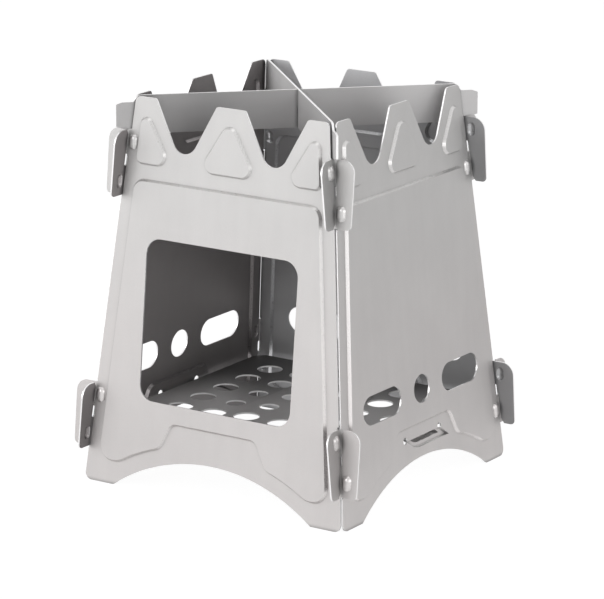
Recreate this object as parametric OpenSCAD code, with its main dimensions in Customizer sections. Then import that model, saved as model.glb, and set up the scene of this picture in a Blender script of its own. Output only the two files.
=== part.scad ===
// Flat-pack titanium wood stove: four interlocking tapered panels, a loose grate and two pot bars.
// The front faces -Y, up is +Z, and the origin is on the ground in the middle of the stove.
// A panel is drawn flat: x runs along it, y runs up its slope, and z is outward through the sheet.

/* [Tower] */
// Width of the square base, corner line to corner line
base_w = 115; // [112:0.5:130]
// Width of the square top, corner line to corner line
top_w = 87; // [84:0.5:92]
// Height from the ground to the tips of the teeth
tower_h = 145.8; // [144:0.1:170]
// Thickness of the panels and of the grate
sheet = 0.6; // [0.4:0.05:0.7]
// Distance of a panel's edge from the corner line below the bars
edge_inset = 0.4; // [0.4:0.05:0.8]
// The same distance above the high hooks, which leaves the slit that a bar's end passes through
slit_inset = 1.3; // [1.25:0.05:1.8]

/* [Teeth and feet] */
// Distance between the middles of the two valleys in the top edge
valley_pitch = 39.4; // [37:0.1:41]
// Depth of a valley below the tips of the teeth
valley_depth = 18.9; // [14:0.1:20]
// Width of a valley where it opens
valley_w = 26.8; // [22:0.1:28]
// Radius at the bottom of a valley
valley_r = 5.6; // [3:0.1:7.5]
// Height of the arch between the feet
arch_h = 14.3; // [10:0.1:15]
// Width of a foot at the ground, from the corner line to the arch
foot_w = 13.5; // [11.5:0.1:17]
// Rounding of the outer corners of the feet
foot_r = 2.6; // [1:0.1:4]
// Rounding of the outer corners of the teeth
shoulder_r = 2.4; // [1:0.1:3]
// Rounding of the other tips of the teeth
tip_r = 1.4; // [0.5:0.1:2.2]

/* [Corner hooks] */
// Height of a hook tab
hook_h = 24.8; // [22:0.1:26]
// How far a hook tab reaches past the corner line
hook_reach = 7.7; // [6.5:0.1:10]
// Height of the lower edge of the low hooks, measured up the panel
low_hook_v = 12.9; // [10:0.1:16]
// Distance from the tips of the teeth down to the lower edge of the high hooks, measured along the panel
high_hook_drop = 37.3; // [36.5:0.1:46]
// Width of the slot in a hook
hook_slot = 1.7; // [1.4:0.1:2]
// Solid height of a hook that opens downward
down_solid = 9.4; // [8:0.1:11]
// Solid height of a hook that opens upward
up_solid = 11; // [9:0.1:12]
// Rounding of a hook's outer top corner
hook_top_r = 4.6; // [2:0.1:5.5]
// Rounding of a hook's outer bottom corner
hook_low_r = 1.8; // [1:0.1:3]
// How far the mouth of a hook's slot widens on the tab's side
mouth_w = 1.1; // [0.4:0.1:1.5]
// Depth of the widened mouth
mouth_h = 1.7; // [0.8:0.1:2.5]

/* [Locating dimples] */
// Width of a dimple
dimple_w = 4; // [3:0.1:4.4]
// Length of a dimple
dimple_len = 6; // [5:0.1:6.6]
// How far a dimple stands out of the sheet
dimple_rise = 1.1; // [0.5:0.05:1.3]
// Distance of a dimple's middle from the corner line
dimple_off = 2.6; // [2.6:0.1:2.8]

/* [Pressed areas] */
// How far the pressed areas stand out of the sheet
emboss = 1.1; // [0.4:0.05:1.4]
// Width of the slope round a pressed area
emboss_slope = 0.8; // [0.5:0.05:1.6]
// Distance from the tips of the teeth down to the top of the large pressed area, measured along the panel
field_drop = 30.1; // [29.5:0.1:42]
// Distance of the large pressed area from the corner line
field_inset = 5.4; // [5.2:0.1:7]
// Height of the straight middle of the large area's lower edge
field_mid_v = 26.8; // [26:0.1:28]
// Length of the straight middle of the large area's lower edge
field_mid_w = 36.6; // [33:0.1:40]
// Height of the lowest point of the lobes over the feet
lobe_v = 8.7; // [7.5:0.1:9.5]
// Distance between the two lobes where they turn down from the middle
lobe_gap = 46.4; // [44:0.1:50]
// Width of the margin between the arch and the lobes
lobe_margin = 6; // [5:0.1:7]
// Distance from the tips of the teeth down to the lower edge of the three triangles under them
triangle_drop = 24.9; // [23.9:0.1:26.4]
// Width of the middle triangle before rounding
triangle_w = 27; // [22:0.1:28]
// Height of the middle triangle before rounding
triangle_h = 22; // [18:0.1:23]
// Distance of an outer triangle from the corner line
triangle_inset = 4.9; // [4.7:0.1:6]
// Width of an outer triangle before rounding
side_triangle_w = 16.8; // [14:0.1:17.5]

/* [Window and vents] */
// Width of the fuel window
window_w = 66.6; // [50:0.1:70]
// Height of the fuel window
window_h = 60.8; // [45:0.1:66]
// Height of the window's lower edge, measured up the panel
window_v = 34.4; // [33:0.1:40]
// Rounding of the window's corners
window_r = 6; // [3:0.1:10]
// Height of a vent slot, which is also the diameter of the round vent
vent_h = 10.8; // [8:0.1:12]
// Length of a vent slot
vent_len = 25.8; // [20:0.1:27]
// Distance of a vent slot's middle from the panel's middle
vent_x = 27.2; // [25:0.1:28]
// Height of the middle of the vents, measured up the panel
vent_v = 39.8; // [38:0.1:44]

/* [Shelf tongues] */
// Height of a tongue's cut top edge, measured up the panel
shelf_v = 22.5; // [21:0.1:23.5]
// Length of a tongue along its top edge
shelf_w = 24; // [22:0.1:26]
// How far a tongue's hollow reaches from the panel's middle, past the right end of the cut
hollow_reach = 18.3; // [17:0.1:20]
// Height of a tongue
shelf_h = 4.5; // [4:0.1:5.5]
// How far a tongue is pressed inward
shelf_depth = 3.2; // [2.8:0.1:4]
// Width of the slope round the hollow
shelf_slope = 1.1; // [0.9:0.1:1.4]
// Width of the shallow step round the hollow
step_w = 1.5; // [1.2:0.1:1.8]
// Depth of that step
step_depth = 1; // [0.7:0.1:1.4]
// Width of the slope round the step
step_slope = 0.4; // [0.3:0.1:0.8]
// How far the cut edge of the sheet lies below the tongue's top edge
shelf_lip = 0.4; // [0.2:0.05:0.6]
// Diameter of the relief hole at each end of that cut
relief_d = 2.7; // [2:0.1:3.2]

/* [Fire grate] */
// Gap between the grate and the walls
grate_gap = 1; // [1:0.1:1.6]
// Distance between the middles of neighbouring holes
hole_pitch = 15.2; // [14:0.1:16]
// Diameter of the large holes
hole_d = 10; // [8:0.1:11]
// Diameter of the small holes in the two middle rows
small_hole_d = 7.6; // [5:0.1:9]
// Rounding of the grate's corners
grate_r = 5; // [3:0.1:8]
// Width of the grate's raised middle
rise_w = 33.6; // [32:0.1:34.4]
// Depth of the grate's raised middle
rise_d = 61; // [59:0.1:62]

/* [Cross bars] */
// Thickness of a bar
bar_t = 0.8; // [0.6:0.05:0.85]
// Height of a bar
bar_h = 14.4; // [13.5:0.1:18]
// Distance of a bar's tip from the middle of the stove, measured along the bar
bar_tip = 68.2; // [67:0.1:74]
// Height of a bar's end where it passes through the corner slit
lug_h = 9.8; // [8:0.1:11]
// Length of the chamfers at a bar's tip
lug_chamfer = 2.2; // [1:0.1:3]
// Gap on each side of the halving slot where the bars cross
cross_gap = 0.3; // [0.2:0.05:0.6]

/* [Hidden] */
titanium = [0.74, 0.73, 0.72];
bare_titanium = [0.62, 0.61, 0.61];
// Overrun of every cut
over = 0.5;
// Play between a piece and the edge that it lies on
seat_gap = 0.05;
// Gap between a bar's shoulder and the inside of the corner
shoulder_gap = 0.4;
// Largest turn in degrees between two points of a rounded corner
turn_step = 12;
// Roundings of the pressed areas
field_r = 5;
mid_r = 3.6;
dip_r = 4.6;
triangle_r = 4;
side_triangle_r = 2.9;
rise_r = 5;
// Rounding of a bar's upper shoulder
bar_r = 2;
// Where the points along a lobe's inner edge lie, from the middle to the foot
lobe_shares = [0.33, 0.66];
// Roundings at the lowest part of a lobe, as shares of its width
lobe_outer_share = 0.63;
lobe_inner_share = 0.84;
// Rounding at the closed end of a hook's slot, as a share of the slot's width
slot_end_share = 0.4;
// Slope of a chamfer at a bar's tip
chamfer_share = 0.35;
// Where the hub of the large pressed area lies, between its lower edge and its top
hub_share = 0.7;
// Rounding of a tongue's lower edge where it turns up to the left end of the cut, and the place of that
// turn as a share of the cut's half length
tongue_r = 9;
tongue_turn_share = 0.42;

// Lean of a panel, its length up the slope, and how far its corner lines come in per length of slope
lean = atan((base_w - top_w) / 2 / tower_h);
slant = tower_h / cos(lean);
taper = (base_w - top_w) / 2 / slant;
high_hook_v = slant - high_hook_drop;
field_top = slant - field_drop;
triangle_v = slant - triangle_drop;

// Half width of the tower at a height measured up a panel, and at a height above the ground
function corner(v) = base_w / 2 - v * taper;
function wall(z) = base_w / 2 - z * tan(lean);
// Height above the ground of a point of a panel
function rise(v, w) = v * cos(lean) + w * sin(lean);

function unit(p) = p / norm(p);
function flat(p) = [p.x, p.y];
// Positive where two directions that leave a point close a hollow of an anticlockwise outline
function bend(a, b) = a.x * b.y - a.y * b.x;

// Points of one rounded corner. A corner is [x, y, radius], and an outline runs anticlockwise.
function corner_arc(before, at, after) =
    let (a = unit(flat(before) - flat(at)), b = unit(flat(after) - flat(at)),
         half = acos(a * b) / 2,
         middle = flat(at) + unit(a + b) * at.z / sin(half),
         start = flat(at) + a * at.z / tan(half) - middle,
         turn = (bend(a, b) < 0 ? 1 : -1) * (180 - 2 * half),
         steps = ceil(abs(turn) / turn_step))
    [for (i = [0:steps])
        let (angle = turn * i / steps)
        middle + [start.x * cos(angle) - start.y * sin(angle),
                  start.x * sin(angle) + start.y * cos(angle)]];

function rounded(corners) =
    let (n = len(corners))
    [for (i = [0:n - 1])
        each corners[i].z > 0
            ? corner_arc(corners[(i + n - 1) % n], corners[i], corners[(i + 1) % n])
            : [flat(corners[i])]];

// One corner of an outline that is moved inward by a distance, with its radius changed to fit
function moved_in(before, at, after, distance) =
    let (a = unit(flat(before) - flat(at)), b = unit(flat(after) - flat(at)),
         side = bend(a, b) < 0 ? 1 : -1,
         place = flat(at) + unit(a + b) * side * distance / sin(acos(a * b) / 2))
    [place.x, place.y, at.z > 0 ? at.z - side * distance : 0];

function inset(corners, distance) =
    let (n = len(corners))
    [for (i = [0:n - 1])
        moved_in(corners[(i + n - 1) % n], corners[i], corners[(i + 1) % n], distance)];

function middle(corners) = flat([for (c = corners) 1] * corners / len(corners));

// The right half of an outline, counted from its bottom, with its mirror image added
function mirrored(corners) =
    concat(corners, [for (i = [len(corners) - 1:-1:0]) [-corners[i].x, corners[i].y, corners[i].z]]);

// A solid between two outlines that have as many points, at two heights. A fan of triangles closes each
// end, round a hub from which the whole outline can be seen.
module loft(low, high, low_w, high_w, hub) {
    n = len(low);
    points = concat(
        [for (p = low) [p.x, p.y, low_w]],
        [for (p = high) [p.x, p.y, high_w]],
        [[hub.x, hub.y, low_w], [hub.x, hub.y, high_w]]);
    faces = [for (i = [0:n - 1])
        each let (j = (i + 1) % n)
        [[i, n + j, j], [i, n + i, n + j], [i, j, 2 * n], [n + j, n + i, 2 * n + 1]]];
    polyhedron(points, faces);
}

// A pressed area stands out of the sheet with sloping sides, and its back is hollow by as much.
slope_run = emboss_slope / emboss;

module pressed(area) {
    loft(rounded(inset(area[0], -sheet / 2 * slope_run)), rounded(inset(area[0], emboss_slope)),
         0, sheet / 2 + emboss, area[1]);
}

module pressed_back(area) {
    loft(rounded(inset(area[0], -over * slope_run)), rounded(inset(area[0], emboss_slope)),
         -sheet / 2 - over, -sheet / 2 + emboss, area[1]);
}

// Valleys of the top edge: sides that touch the round bottom and end at the valley's width
valley_top = [valley_w / 2, valley_depth - valley_r];
valley_side = atan(valley_top.y / valley_top.x) + asin(valley_r / norm(valley_top));
valley_tip_v = slant - valley_depth + valley_r - valley_r / cos(valley_side);

// Circle of the arch: its radius, and how far its middle lies below the ground
arch_w = base_w - 2 * foot_w;
arch_r = (pow(arch_w / 2, 2) + pow(arch_h, 2)) / 2 / arch_h;
arch_drop = arch_r - arch_h;
// The feet reach this low so that cutting them level leaves their whole thickness
foot_v = -sheet / 2 * tan(lean);

// The edge steps in for the slit halfway up the high hooks, where their tabs cover the step.
step_v = high_hook_v + hook_h / 2;

blank_corners = mirrored([
    [corner(foot_v) - edge_inset, foot_v, foot_r],
    [corner(step_v) - edge_inset, step_v, 0],
    [corner(step_v) - slit_inset, step_v, 0],
    [corner(slant) - slit_inset, slant, shoulder_r],
    [valley_pitch / 2 + valley_w / 2, slant, tip_r],
    [valley_pitch / 2, valley_tip_v, valley_r],
    [valley_pitch / 2 - valley_w / 2, slant, tip_r]]);

// Large pressed area: straight sides, a straight middle below, and a lobe over each foot
lobe_arc_r = arch_r + lobe_margin;
lobe_end = sqrt(pow(lobe_arc_r, 2) - pow(arch_drop + lobe_v, 2));
lobe_outer = corner(lobe_v) - field_inset;
lobe_w = lobe_outer - lobe_end;
function lobe_edge(u) = sqrt(pow(lobe_arc_r, 2) - pow(u, 2)) - arch_drop;

field_corners = mirrored(concat(
    [[field_mid_w / 2, field_mid_v, mid_r],
     [lobe_gap / 2, lobe_edge(lobe_gap / 2), dip_r]],
    [for (share = lobe_shares)
        let (u = lobe_gap / 2 + (lobe_end - lobe_gap / 2) * share)
        [u, lobe_edge(u), 0]],
    [[lobe_end, lobe_v, lobe_w * lobe_inner_share],
     [lobe_outer, lobe_v, lobe_w * lobe_outer_share],
     [corner(field_top) - field_inset, field_top, field_r]]));

// Middle triangle, and the outer one, whose outer side follows the panel's edge
triangle_corners = [
    [-triangle_w / 2, triangle_v, triangle_r],
    [triangle_w / 2, triangle_v, triangle_r],
    [0, triangle_v + triangle_h, triangle_r]];

side_out = corner(triangle_v) - triangle_inset;
side_peak = side_triangle_w / (triangle_w / 2 / triangle_h + taper);
side_triangle_corners = [
    [side_out - side_triangle_w, triangle_v, triangle_r],
    [side_out, triangle_v, side_triangle_r],
    [side_out - side_peak * taper, triangle_v + side_peak, side_triangle_r]];

function flipped(corners) =
    [for (i = [len(corners) - 1:-1:0]) [-corners[i].x, corners[i].y, corners[i].z]];

// Every pressed area of a panel: its corners and its hub
pressed_areas = [
    [field_corners, [0, field_mid_v + (field_top - field_mid_v) * hub_share]],
    for (corners = [triangle_corners, side_triangle_corners, flipped(side_triangle_corners)])
        [corners, middle(corners)]];

// A hook tab on the right edge, its lower edge at v
module hook_tab(v) {
    root = corner(v + hook_h) - slit_inset - over;
    tip = corner(v + hook_h / 2) + hook_reach;
    polygon(rounded([
        [root, v, 0],
        [tip, v, hook_low_r],
        [tip, v + hook_h, hook_top_r],
        [root, v + hook_h, 0]]));
}

// The slot of a hook on the right edge along the corner line, from its closed end to its mouth
module hook_cut(closed_v, mouth_v) {
    way = sign(mouth_v - closed_v);
    end_r = hook_slot * slot_end_share;
    near = hook_slot / 2;
    out_v = mouth_v + way * over;
    neck_v = mouth_v - way * mouth_h;
    corners = [
        [corner(closed_v) - near, closed_v, end_r],
        [corner(closed_v) + near, closed_v, end_r],
        [corner(neck_v) + near, neck_v, 0],
        [corner(mouth_v) + near + mouth_w, mouth_v, 0],
        [corner(out_v) + near + mouth_w, out_v, 0],
        [corner(out_v) - near, out_v, 0]];
    polygon(rounded(way > 0 ? corners : [for (i = [len(corners) - 1:-1:0]) corners[i]]));
}

module blank() {
    difference() {
        union() {
            polygon(rounded(blank_corners));
            for (v = [low_hook_v, high_hook_v], side = [0, 1]) mirror([side, 0]) hook_tab(v);
        }
        translate([0, -arch_drop]) circle(arch_r, $fn = 180);
        for (v = [low_hook_v, high_hook_v]) {
            hook_cut(v + up_solid, v + hook_h);
            mirror([1, 0]) hook_cut(v + hook_h - down_solid, v);
        }
    }
}

// Dimples: a long dome on each side of the corner line, on the solid part of every hook
dimple_ball_r = (pow(dimple_w / 2, 2) + pow(dimple_rise, 2)) / 2 / dimple_rise;

module at_dimples() {
    up_v = up_solid / 2;
    down_v = hook_h - down_solid / 2;
    for (v = [low_hook_v, high_hook_v], side = [-1, 1]) {
        translate([corner(v + up_v) + side * dimple_off, v + up_v]) children();
        translate([-corner(v + down_v) + side * dimple_off, v + down_v]) children();
    }
}

module dimple_ball(r) {
    straight = dimple_len - dimple_w;
    translate([0, 0, sheet / 2 + dimple_rise - dimple_ball_r]) rotate([90, 0, 0]) {
        cylinder(h = straight, r = r, center = true, $fn = 48);
        for (end = [-1, 1]) translate([0, 0, end * straight / 2]) sphere(r, $fn = 48);
    }
}

module dimple() {
    reach = dimple_len + dimple_w;
    intersection() {
        dimple_ball(dimple_ball_r);
        translate([-reach / 2, -reach / 2]) cube([reach, reach, sheet + dimple_rise]);
    }
}

// Shelf tongue: the sheet below a straight cut is pressed inward, so that the tongue's top edge makes a
// ledge. Both solids reach above that edge and are trimmed there.
tongue_corners = [
    [-shelf_w / 2 * tongue_turn_share, shelf_v - shelf_h, tongue_r],
    [hollow_reach, shelf_v - shelf_h, 0],
    [shelf_w / 2, shelf_v, 0],
    [shelf_w / 2, shelf_v + shelf_h, 0],
    [-shelf_w / 2, shelf_v + shelf_h, 0],
    [-shelf_w / 2, shelf_v, 0]];
tongue_hub = [0, shelf_v];
// The shallow step and the hollow in it: corners, depth and width of the slope
tongue_steps = [
    [tongue_corners, step_depth, step_slope],
    [inset(tongue_corners, step_w), shelf_depth, shelf_slope]];

module tongue() {
    for (step = tongue_steps)
        loft(rounded(inset(step[0], step[2])), rounded(inset(step[0], -sheet / 2 * step[2] / step[1])),
             -sheet / 2 - step[1], 0, tongue_hub);
}

module tongue_hollow() {
    for (step = tongue_steps)
        loft(rounded(inset(step[0], step[2])), rounded(inset(step[0], -over * step[2] / step[1])),
             sheet / 2 - step[1], sheet / 2 + over, tongue_hub);
}

module below(v) {
    intersection() {
        children();
        translate([-base_w / 2, v - base_w, -base_w / 2]) cube(base_w);
    }
}

module behind_sheet() {
    intersection() {
        children();
        translate([-base_w / 2, 0, -sheet / 2 - base_w]) cube(base_w);
    }
}

module reliefs() {
    for (side = [-1, 1]) translate([side * shelf_w / 2, shelf_v]) circle(d = relief_d, $fn = 36);
}

module window() {
    top = window_v + window_h;
    polygon(rounded(mirrored([[window_w / 2, window_v, window_r], [window_w / 2, top, window_r]])));
}

module vents() {
    straight = vent_len - vent_h;
    translate([0, vent_v]) {
        circle(d = vent_h, $fn = 72);
        for (side = [-1, 1]) translate([side * vent_x, 0]) {
            square([straight, vent_h], center = true);
            for (end = [-1, 1]) translate([end * straight / 2, 0]) circle(d = vent_h, $fn = 72);
        }
    }
}

// Everything of a panel that lies below the ground
module underground() {
    rotate([lean - 90, 0, 0])
        translate([-base_w, -base_w, -base_w / 2]) cube([2 * base_w, 2 * base_w, base_w / 2]);
}

module through_sheet() {
    translate([0, 0, -sheet / 2 - over]) linear_extrude(sheet + emboss + 2 * over) children();
}

module panel(is_front) {
    difference() {
        union() {
            linear_extrude(sheet, center = true) blank();
            for (area = pressed_areas) pressed(area);
            at_dimples() dimple();
            if (!is_front) below(shelf_v) tongue();
        }
        for (area = pressed_areas) pressed_back(area);
        at_dimples() dimple_ball(dimple_ball_r - sheet);
        if (is_front) through_sheet() window();
        else {
            through_sheet() vents();
            through_sheet() reliefs();
            below(shelf_v - shelf_lip) tongue_hollow();
            behind_sheet() below(shelf_v + over) tongue_hollow();
        }
        underground();
    }
}

// Stands a panel on its feet, turned about the middle of the stove
module stand(turn) {
    rotate([0, 0, turn]) translate([0, -base_w / 2]) rotate([90 - lean, 0, 0]) children();
}

module front_panel() { color(titanium) stand(0) panel(true); }
module right_panel() { color(titanium) stand(90) panel(false); }
module back_panel() { color(titanium) stand(180) panel(false); }
module left_panel() { color(titanium) stand(270) panel(false); }

// The grate lies on the tongues' edges where it comes nearest to the walls.
grate_z = rise(shelf_v, -sheet / 2 - grate_gap) + seat_gap;
grate_half = wall(grate_z + sheet) - sheet / 2 / cos(lean) - grate_gap;
hole_rows = [-2.5:1:2.5];

function square_corners(w, d, r) = mirrored([[w / 2, -d / 2, r], [w / 2, d / 2, r]]);

module fire_grate() {
    rise = [square_corners(rise_w, rise_d, rise_r), [0, 0]];
    color(bare_titanium) translate([0, 0, grate_z + sheet / 2]) difference() {
        union() {
            linear_extrude(sheet, center = true)
                polygon(rounded(square_corners(2 * grate_half, 2 * grate_half, grate_r)));
            pressed(rise);
        }
        pressed_back(rise);
        for (column = hole_rows, row = hole_rows) {
            is_small = abs(row) < 1 && abs(column) < 2;
            translate([column * hole_pitch, row * hole_pitch, -sheet / 2 - over])
                cylinder(h = sheet + emboss + 2 * over, d = is_small ? small_hole_d : hole_d, $fn = 48);
        }
    }
}

// The bars lie on the upper edges of the high hooks, inside the corner down to their shoulders.
bar_low_z = tower_h - bar_h;
lug_low_z = rise(high_hook_v + hook_h, sheet / 2) + seat_gap;
lug_high_z = lug_low_z + lug_h;
shoulder_x = sqrt(2) * (wall(lug_low_z) - sheet / 2 / cos(lean) - shoulder_gap) - bar_t / 2;

bar_corners = mirrored([
    [shoulder_x, bar_low_z, 0],
    [shoulder_x, lug_low_z, 0],
    [bar_tip - lug_chamfer, lug_low_z, 0],
    [bar_tip, lug_low_z + lug_chamfer * chamfer_share, 0],
    [bar_tip, lug_high_z - lug_chamfer * chamfer_share, 0],
    [bar_tip - lug_chamfer, lug_high_z, 0],
    [shoulder_x, lug_high_z, 0],
    [shoulder_x - bar_r, tower_h, bar_r]]);

// A bar along the diagonal, with its halving slot from the middle of its height to slot_z
module bar(slot_z) {
    slot_w = bar_t + 2 * cross_gap;
    middle_z = tower_h - bar_h / 2;
    way = sign(slot_z - middle_z);
    low = min(middle_z - way * cross_gap / 2, slot_z + way * over);
    high = max(middle_z - way * cross_gap / 2, slot_z + way * over);
    rotate([90, 0, 0]) linear_extrude(bar_t, center = true) difference() {
        polygon(rounded(bar_corners));
        translate([-slot_w / 2, low]) square([slot_w, high - low]);
    }
}

module lower_cross_bar() { color(bare_titanium) rotate([0, 0, 45]) bar(tower_h); }
module upper_cross_bar() { color(bare_titanium) rotate([0, 0, -45]) bar(bar_low_z); }

front_panel();
right_panel();
back_panel();
left_panel();
fire_grate();
lower_cross_bar();
upper_cross_bar();
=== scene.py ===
import bpy
import math
from mathutils import Matrix, Vector

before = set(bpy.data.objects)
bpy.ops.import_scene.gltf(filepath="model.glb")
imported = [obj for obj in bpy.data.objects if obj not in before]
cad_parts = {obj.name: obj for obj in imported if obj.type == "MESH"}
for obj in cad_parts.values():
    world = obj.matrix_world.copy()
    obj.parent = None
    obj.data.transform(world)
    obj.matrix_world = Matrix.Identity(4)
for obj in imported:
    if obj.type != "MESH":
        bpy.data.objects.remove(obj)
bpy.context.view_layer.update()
print("frame loaded:", ", ".join(sorted(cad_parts)))

# the photographer's place: round to the right of the front panel and a little above it
cameraSettings = {
    "aim": (0.0, 0.0, 0.06517),
    "azimuth": 33.37,
    "elevation": 14.93,
    "roll": 0.30,
    "distance": 1.3022,
    "offset": (0.00165, 0.00018),  # sideways and upward, in metres
    "lens": 206.74,
    "sensorWidth": 36,
    "clipStart": 0.05,
    "clipEnd": 60,
}


def placeCamera(settings):
    azimuth = math.radians(settings["azimuth"])
    elevation = math.radians(settings["elevation"])
    roll = math.radians(settings["roll"])
    back = Vector((math.sin(azimuth) * math.cos(elevation),
                   -math.cos(azimuth) * math.cos(elevation),
                   math.sin(elevation)))
    right = Vector((0, 0, 1)).cross(back).normalized()
    up = back.cross(right)
    sideways = right * math.cos(roll) + up * math.sin(roll)
    upward = up * math.cos(roll) - right * math.sin(roll)
    place = (Vector(settings["aim"]) + back * settings["distance"]
             + sideways * settings["offset"][0] + upward * settings["offset"][1])
    data = bpy.data.cameras.new("photoCamera")
    data.lens = settings["lens"]
    data.sensor_width = settings["sensorWidth"]
    data.clip_start = settings["clipStart"]
    data.clip_end = settings["clipEnd"]
    camera = bpy.data.objects.new("photoCamera", data)
    bpy.context.scene.collection.objects.link(camera)
    camera.matrix_world = Matrix((
        (sideways.x, upward.x, back.x, place.x),
        (sideways.y, upward.y, back.y, place.y),
        (sideways.z, upward.z, back.z, place.z),
        (0, 0, 0, 1)))
    bpy.context.scene.camera = camera


placeCamera(cameraSettings)
bpy.context.scene.view_settings.view_transform = "Standard"
print("camera placed")


class Nodes:
    # a short way to add and join shader nodes
    def __init__(self, tree):
        self.tree = tree
        tree.nodes.clear()

    def add(self, kind, inputs=None, **settings):
        node = self.tree.nodes.new(kind)
        for key, value in settings.items():
            setattr(node, key, value)
        for key, value in (inputs or {}).items():
            self.feed(node.inputs[key], value)
        return node

    def feed(self, socket, value):
        if isinstance(value, bpy.types.NodeSocket):
            self.tree.links.new(value, socket)
        else:
            socket.default_value = value

    def math(self, operation, a, b=0.0, clamp=False):
        node = self.add("ShaderNodeMath", {0: a, 1: b}, operation=operation, use_clamp=clamp)
        return node.outputs[0]

    def span(self, value, low, high, toLow=0.0, toHigh=1.0, smooth=False):
        node = self.add("ShaderNodeMapRange", {"Value": value, "From Min": low, "From Max": high,
                                               "To Min": toLow, "To Max": toHigh})
        node.interpolation_type = "SMOOTHSTEP" if smooth else "LINEAR"
        return node.outputs["Result"]

    def mixColour(self, factor, a, b, blend="MIX"):
        # for colours, the mix node's factor is input 0, its colours are 6 and 7, and it gives 2
        node = self.add("ShaderNodeMix", data_type="RGBA", blend_type=blend)
        self.feed(node.inputs[0], factor)
        self.feed(node.inputs[6], a)
        self.feed(node.inputs[7], b)
        return node.outputs[2]

    def noise(self, place, pattern):
        node = self.add("ShaderNodeTexNoise", {"Vector": place, "Scale": pattern["scale"],
                                               "Detail": pattern["detail"],
                                               "Roughness": pattern["roughness"]})
        return node.outputs[0]

    def grey(self, value):
        return self.add("ShaderNodeCombineColor", {0: value, 1: value, 2: value}).outputs[0]

    def fade(self, place, fade):
        # a tint that changes along one direction of the stove
        along = self.add("ShaderNodeVectorMath", {0: place, 1: fade["along"]},
                         operation="DOT_PRODUCT")
        share = self.span(along.outputs["Value"], fade["low"], fade["high"], smooth=True)
        return self.mixColour(share, fade["tints"][0], fade["tints"][1])


panelLook = {
    "outerColour": (0.67, 0.66, 0.66, 1),
    # painted highlight on the cut edges
    "edgeHighlightColour": (0.9, 0.89, 0.89, 1),
    "outsideRange": (-0.2, 0.2),  # how far a face turns outward: from the inner to the outer colour
    "cutRange": (0.25, 0.55),  # below this a face is a cut edge
    "pressedRange": (0.93, 0.985),  # and below this it is a pressed slope or a dimple
    "metallic": 0.35,
    "pressedMetallic": 0.85,
    "roughness": 0.5,
    "pressedRoughness": 0.29,
    "roughnessRange": (0.25, 0.75),
    "roughnessDepth": 0.05,
    "specular": 0.5,
    "clouds": {"scale": 34.0, "detail": 3.0, "roughness": 0.55, "depth": 0.03},
    "grain": {"scale": 3600.0, "detail": 2.0, "roughness": 0.6, "depth": 0.03},
    "streaks": {"scale": 220.0, "detail": 2.0, "roughness": 0.5, "depth": 0.012},
    "streakStretch": (1.0, 1.0, 0.05),
    "noiseRange": (0.3, 0.7),
    "bumpStrength": 0.25,
    "bumpDepth": 0.00003,
    # painted shade in creases, corners and recesses, from ambient occlusion
    "paintedShadeReach": 0.0022,
    "paintedShadeSamples": 8,
    "paintedShadeRange": (0.5, 0.93),
    "paintedShadeTone": 0.45,
    "fades": [],
}


def titanium(name, look, outward):
    # bead-blasted sheet: pale outside, darker inside from painted shade, smoother slopes, cut edges
    # with a painted highlight and painted shade in creases
    material = bpy.data.materials.new(name)
    material.use_nodes = True
    n = Nodes(material.node_tree)
    normal = n.add("ShaderNodeNewGeometry").outputs["True Normal"]
    place = n.add("ShaderNodeTexCoord").outputs["Object"]
    facing = n.add("ShaderNodeVectorMath", {0: normal, 1: outward},
                   operation="DOT_PRODUCT").outputs["Value"]
    flatness = n.math("ABSOLUTE", facing)
    outside = n.span(facing, *look["outsideRange"])
    cutEdge = n.span(flatness, *look["cutRange"], 1.0, 0.0)
    pressed = n.span(flatness, *look["pressedRange"], 1.0, 0.0)

    sides = {"inner": look["innerColour"], "outer": look["outerColour"]}
    for fade in look["fades"]:
        side = fade["side"]
        sides[side] = n.mixColour(1.0, sides[side], n.fade(place, fade), "MULTIPLY")
    tone = n.mixColour(outside, sides["inner"], sides["outer"])
    # cut edges get a painted highlight
    tone = n.mixColour(cutEdge, tone, look["edgeHighlightColour"])

    stretched = n.add("ShaderNodeMapping", {"Vector": place, "Scale": look["streakStretch"]})
    clouds = n.noise(place, look["clouds"])
    grain = n.noise(place, look["grain"])
    streaks = n.noise(stretched.outputs[0], look["streaks"])

    def uneven(noise, depth):
        return n.span(noise, *look["noiseRange"], -depth, depth)

    shade = n.math("ADD", uneven(clouds, look["clouds"]["depth"]),
                   uneven(grain, look["grain"]["depth"]))
    shade = n.math("ADD", shade, uneven(streaks, look["streaks"]["depth"]))
    brightness = n.math("ADD", shade, 1.0)
    # painted shade: the colour is darkened where ambient occlusion finds creases and recesses
    paintedCreviceShade = n.add("ShaderNodeAmbientOcclusion", {"Distance": look["paintedShadeReach"]},
                    samples=look["paintedShadeSamples"])
    creviceShadeFactor = n.span(paintedCreviceShade.outputs["AO"], *look["paintedShadeRange"], look["paintedShadeTone"], 1.0,
                      smooth=True)
    colour = n.mixColour(1.0, tone, n.grey(n.math("MULTIPLY", brightness, creviceShadeFactor)), "MULTIPLY")

    metallic = n.span(pressed, 0.0, 1.0, look["metallic"], look["pressedMetallic"])
    roughDepth = look["roughnessDepth"]
    roughness = n.math("ADD", n.span(grain, *look["roughnessRange"], -roughDepth, roughDepth),
                       n.span(pressed, 0.0, 1.0, look["roughness"], look["pressedRoughness"]))
    bump = n.add("ShaderNodeBump", {"Strength": look["bumpStrength"],
                                    "Distance": look["bumpDepth"], "Height": grain})
    shader = n.add("ShaderNodeBsdfPrincipled", {
        "Base Color": colour, "Metallic": metallic, "Roughness": roughness,
        "Normal": bump.outputs[0], "Specular IOR Level": look["specular"]})
    n.add("ShaderNodeOutputMaterial", {"Surface": shader.outputs[0]})
    return material


def dress(node, look, outward):
    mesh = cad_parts[node].data
    mesh.materials.clear()
    mesh.materials.append(titanium(node + "_titanium", look, outward))


def plain(level):
    return (level, level, level, 1)
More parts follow.
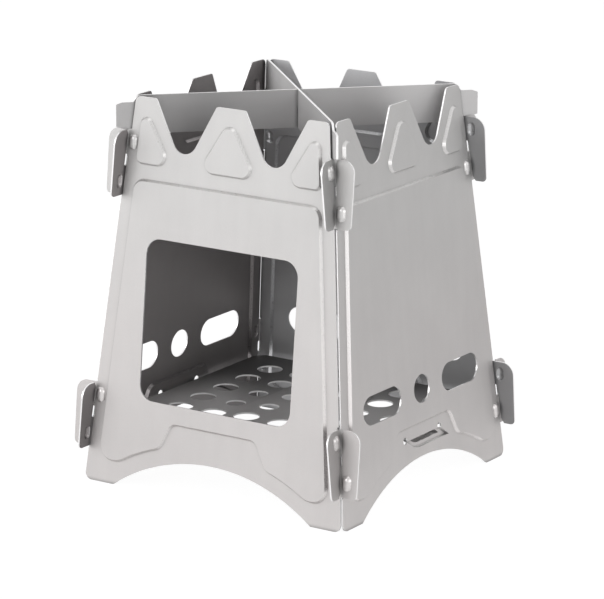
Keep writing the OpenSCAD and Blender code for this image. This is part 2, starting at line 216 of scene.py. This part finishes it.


# slow changes of tone, a warm tint at the foot and painted light and shade: from the first tint at
# low to the second at high, in metres along
warmFoot = {"side": "outer", "along": (0, 0, 1), "low": 0.04, "high": 0.13,
            "tints": ((1.01, 0.985, 0.975, 1), (1, 1, 0.99, 1))}
# painted light: the outside paler towards the foot
paintedLightFoot = {"side": "outer", "along": (0, 0, 1), "low": 0.0, "high": 0.05,
            "tints": (plain(1.12), plain(1))}
# painted light: the inside paler at the top, by the teeth
paintedLightTeeth = {"side": "inner", "along": (0, 0, 1), "low": 0.12, "high": 0.14,
             "tints": (plain(1), plain(1.4))}
# painted shade: the inside darker towards +x
paintedShadeRight = {"side": "inner", "along": (1, 0, 0), "low": -0.005, "high": 0.03,
             "tints": (plain(1), plain(0.68))}
# painted shade: the inside darker towards the foot
paintedShadeFoot = {"side": "inner", "along": (0, 0, 1), "low": 0.02, "high": 0.05,
            "tints": (plain(0.7), plain(1))}

# the panels meet on lines that lean in as they go up, and the hooks stand out beyond them
cornerLine = {"lean": 0.0946, "inside": 0.0565, "outside": 0.0585}


# painted light and shade on the hook tabs that stand out beyond the corner lines
def paintedHookLightAndShade(side, way, level):
    return {"side": side, "along": (way[0], way[1], cornerLine["lean"]),
            "low": cornerLine["inside"], "high": cornerLine["outside"],
            "tints": (plain(1), plain(level))}


# the panels' inner colours are painted shade, darker than the outside; the back panel's inside is
# painted less dark
panelSides = {
    "front_panel": {"outward": (0, -1, 0), "innerColour": (0.35, 0.34, 0.34, 1),
                    "fades": [warmFoot]},
    "right_panel": {"outward": (1, 0, 0), "innerColour": (0.35, 0.34, 0.34, 1),
                    "fades": [warmFoot, paintedLightFoot, paintedHookLightAndShade("outer", (0, -1), 0.76)]},
    "back_panel": {"outward": (0, 1, 0), "innerColour": (0.65, 0.65, 0.66, 1),
                   "fades": [warmFoot, paintedLightTeeth, paintedShadeRight, paintedHookLightAndShade("inner", (-1, 0), 0.68)]},
    "left_panel": {"outward": (-1, 0, 0), "innerColour": (0.34, 0.32, 0.32, 1),
                   "fades": [warmFoot, paintedShadeFoot, paintedHookLightAndShade("inner", (0, -1), 1.12)]},
}
for node, side in panelSides.items():
    look = dict(panelLook, innerColour=side["innerColour"], fades=side["fades"])
    dress(node, look, side["outward"])
print("panels dressed")

# painted shade: the whole grate is darker than the panels and darker still towards its far end,
# with painted light towards its near end
paintedShadeFarEnd = {"side": "outer", "along": (0.35, -0.94, 0), "low": -0.045, "high": 0.01,
              "tints": (plain(0.3), plain(1.7))}
grateLook = dict(panelLook, outerColour=(0.42, 0.41, 0.41, 1), innerColour=(0.36, 0.35, 0.35, 1),
                 pressedMetallic=0.35, pressedRoughness=0.5, specular=0.25,
                 streakStretch=(1.0, 0.05, 1.0), fades=[paintedShadeFarEnd])
dress("fire_grate", grateLook, (0, 0, 1))
print("grate dressed")

barLook = dict(panelLook, outerColour=(0.65, 0.64, 0.64, 1), innerColour=(0.65, 0.64, 0.64, 1),
               edgeHighlightColour=(0.95, 0.94, 0.94, 1), streakStretch=(0.05, 0.05, 1.0))
diagonal = math.sqrt(0.5)
# painted shade: the lower bar is darker towards the front left, and painted light makes the end
# that stands outside paler
paintedShadeBar = {"side": "outer", "along": (diagonal, diagonal, 0), "low": -0.04, "high": 0.045,
           "tints": (plain(0.75), plain(1.15))}
paintedLightBarEnd = {"side": "outer", "along": (-diagonal, -diagonal, 0), "low": 0.06, "high": 0.064,
              "tints": (plain(1), plain(1.22))}
dress("lower_cross_bar", dict(barLook, fades=[paintedShadeBar, paintedLightBarEnd]), (diagonal, -diagonal, 0))
dress("upper_cross_bar", barLook, (diagonal, diagonal, 0))
print("bars dressed")

studioSettings = {
    "floorSize": 8.0,
    "floorHeight": -0.0001,
    "floorColour": plain(0.8),
    "shadowColour": plain(0.22),
    "floorGlow": 0.95,
    "skyLevel": 0.13,
}


def seenRays(n):
    # rays from the camera and rays off metal or through glass see the white studio
    path = n.add("ShaderNodeLightPath")
    seen = n.math("ADD", path.outputs["Is Camera Ray"], path.outputs["Is Glossy Ray"])
    return n.math("ADD", seen, path.outputs["Is Transmission Ray"], clamp=True)


def whiteFloor(settings):
    material = bpy.data.materials.new("floorWhite")
    material.use_nodes = True
    n = Nodes(material.node_tree)
    lit = n.add("ShaderNodeBsdfDiffuse", {"Color": settings["floorColour"]})
    shaded = n.add("ShaderNodeBsdfDiffuse", {"Color": settings["shadowColour"]})
    glow = n.add("ShaderNodeEmission", {"Color": plain(1), "Strength": settings["floorGlow"]})
    white = n.add("ShaderNodeAddShader", {0: shaded.outputs[0], 1: glow.outputs[0]})
    both = n.add("ShaderNodeMixShader", {0: seenRays(n), 1: lit.outputs[0], 2: white.outputs[0]})
    n.add("ShaderNodeOutputMaterial", {"Surface": both.outputs[0]})
    half = settings["floorSize"] / 2
    height = settings["floorHeight"]
    corners = [(x * half, y * half, height) for x, y in ((-1, -1), (1, -1), (1, 1), (-1, 1))]
    mesh = bpy.data.meshes.new("floor")
    mesh.from_pydata(corners, [], [(0, 1, 2, 3)])
    mesh.materials.append(material)
    floor = bpy.data.objects.new("floor", mesh)
    bpy.context.scene.collection.objects.link(floor)


def whiteSky(settings):
    world = bpy.data.worlds.new("studioSky")
    world.use_nodes = True
    n = Nodes(world.node_tree)
    level = n.span(seenRays(n), 0.0, 1.0, settings["skyLevel"], 1.0)
    back = n.add("ShaderNodeBackground", {"Color": plain(1), "Strength": level})
    n.add("ShaderNodeOutputWorld", {"Surface": back.outputs[0]})
    bpy.context.scene.world = world


stoveMiddle = (0, 0, 0.07)
stoveTop = (0, 0, 0.1)
lampSettings = {
    "frontLeftLamp": {"place": (-0.8, -1.6, 0.55), "aim": stoveMiddle, "size": 1.2, "power": 10.4},
    "leftLamp": {"place": (-1.6, -0.6, 0.6), "aim": stoveMiddle, "size": 1.2, "power": 6.2},
    "frontRightLamp": {"place": (1.5, -1.1, 0.5), "aim": stoveMiddle, "size": 1.2, "power": 6.2},
    "backRightLamp": {"place": (1.5, 0.7, 0.8), "aim": stoveMiddle, "size": 1.2, "power": 4.0},
    "topLamp": {"place": (0.1, -0.2, 1.7), "aim": stoveTop, "size": 0.8, "power": 1.2},
}


def hangLamps(settings):
    for name, lamp in settings.items():
        data = bpy.data.lights.new(name, "AREA")
        data.shape = "SQUARE"
        data.size = lamp["size"]
        data.energy = lamp["power"]
        light = bpy.data.objects.new(name, data)
        bpy.context.scene.collection.objects.link(light)
        light.location = lamp["place"]
        aim = Vector(lamp["aim"]) - Vector(lamp["place"])
        light.rotation_euler = aim.to_track_quat("-Z", "Y").to_euler()


whiteFloor(studioSettings)
whiteSky(studioSettings)
hangLamps(lampSettings)
print("studio lit")
